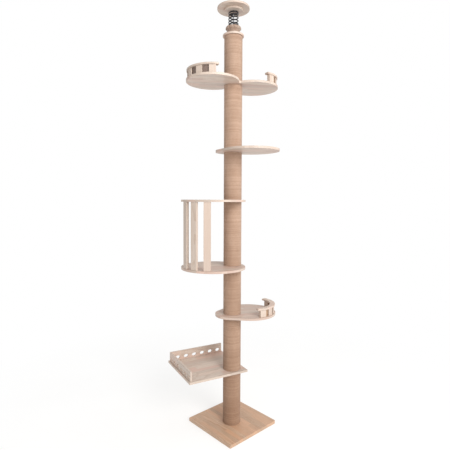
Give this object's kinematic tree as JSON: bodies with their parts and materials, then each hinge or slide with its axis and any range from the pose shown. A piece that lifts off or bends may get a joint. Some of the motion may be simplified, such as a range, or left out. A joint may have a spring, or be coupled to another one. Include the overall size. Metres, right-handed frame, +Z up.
{
  "type": "cat tree",
  "caption": "Floor-to-ceiling cat tree: sisal-wrapped post on a square base, with a fenced tray, railed shelves, a slatted cage and a sprung ceiling jack.",
  "frame": {"origin": "on the post's axis at floor level, at the underside of the base", "axes": "+Z up along the post; +X towards the pear-shaped shelves and +Y away from the viewer who sees the fenced tray on the left"},
  "size_m": [0.7132, 0.5616, 2.6402],
  "materials": {
    "pine": "pale pine, finger-jointed strips, clear matt lacquer",
    "base_pine": "darker laminated pine, matt lacquer",
    "core_board": "raw board tube with wooden end plugs",
    "sisal": "close-wound natural sisal rope",
    "grey_rubber": "matt anti-slip rubber",
    "ply": "thin bent plywood, clear matt lacquer",
    "stained_ply": "thin bent plywood, stained brown-grey",
    "zinc_steel": "zinc-plated steel",
    "black_spring_steel": "black spring steel"
  },
  "bodies": {
    "post": {"base_plate": "base_pine", "base_bolt": "zinc_steel", "post_core_1": "core_board", "post_core_2": "core_board", "post_core_3": "core_board", "post_core_4": "core_board", "post_core_5": "core_board", "post_core_6": "core_board", "post_core_7": "core_board", "post_sisal_1": "sisal", "post_sisal_2": "sisal", "post_sisal_3": "sisal", "post_sisal_4": "sisal", "post_sisal_5": "sisal", "post_sisal_6": "sisal", "post_sisal_7": "sisal", "post_stud_1": "zinc_steel", "post_stud_2": "zinc_steel", "post_stud_3": "zinc_steel", "post_stud_4": "zinc_steel", "post_stud_5": "zinc_steel", "post_stud_6": "zinc_steel", "top_collar": "pine", "jack_rod": "zinc_steel"},
    "tray": {"tray_plate": "pine", "tray_side_board": "pine", "tray_back_board": "pine"},
    "lower_shelf": {"lower_shelf_plate": "pine", "lower_shelf_rail": "pine", "lower_shelf_infill": "ply", "lower_shelf_block_1": "pine", "lower_shelf_block_2": "pine", "lower_shelf_block_3": "pine", "lower_shelf_block_4": "pine", "lower_shelf_block_5": "pine"},
    "cage": {"cage_floor": "pine", "cage_roof": "pine", "cage_slat_1": "pine", "cage_slat_2": "pine", "cage_slat_3": "pine"},
    "middle_shelf": {"middle_shelf_plate": "pine"},
    "twin_shelf": {"twin_shelf_plate": "pine", "twin_right_rail": "pine", "twin_right_infill": "ply", "twin_right_block_1": "pine", "twin_right_block_2": "pine", "twin_right_block_3": "pine", "twin_right_block_4": "pine", "twin_left_rail": "pine", "twin_left_infill": "stained_ply", "twin_left_block_1": "pine", "twin_left_block_2": "pine", "twin_left_block_3": "pine", "twin_left_block_4": "pine"},
    "jack_carrier": {"jack_washer": "zinc_steel", "jack_spring": "black_spring_steel"},
    "jack_wheel": {"jack_wheel": "pine"},
    "ceiling_head": {"spring_seat": "pine", "ceiling_plate": "pine", "ceiling_pad": "grey_rubber"}
  },
  "joints": [
    {"name": "tray_turn", "type": "hinge", "parent": "post", "child": "tray", "pos_m": [0, 0, 0.3654], "axis": [0, 0, 1], "continuous": true},
    {"name": "lower_shelf_turn", "type": "hinge", "parent": "post", "child": "lower_shelf", "pos_m": [0, 0, 0.7247], "axis": [0, 0, 1], "continuous": true},
    {"name": "cage_turn", "type": "hinge", "parent": "post", "child": "cage", "pos_m": [0, 0, 1.0354], "axis": [0, 0, 1], "continuous": true},
    {"name": "middle_shelf_turn", "type": "hinge", "parent": "post", "child": "middle_shelf", "pos_m": [0, 0, 1.7589], "axis": [0, 0, 1], "continuous": true},
    {"name": "twin_shelf_turn", "type": "hinge", "parent": "post", "child": "twin_shelf", "pos_m": [0, 0, 2.1709], "axis": [0, 0, 1], "continuous": true},
    {"name": "jack_lift", "type": "slide", "parent": "post", "child": "jack_carrier", "axis": [0, 0, 1], "range_m": [0, 0.04]},
    {"name": "wheel_turn", "type": "hinge", "parent": "jack_carrier", "child": "jack_wheel", "pos_m": [0, 0, 2.4717], "axis": [0, 0, 1], "range_deg": [0, 11525]},
    {"name": "ceiling_press", "type": "slide", "parent": "jack_carrier", "child": "ceiling_head", "axis": [0, 0, 1], "range_m": [-0.03, 0], "stiffness_N_per_m": 9000, "springref_m": 0.0008, "deforming": ["jack_spring"]}
  ],
  "couplings": [
    {"joint": "wheel_turn", "follows": "jack_lift", "rad_per_m": 5026.5}
  ]
}
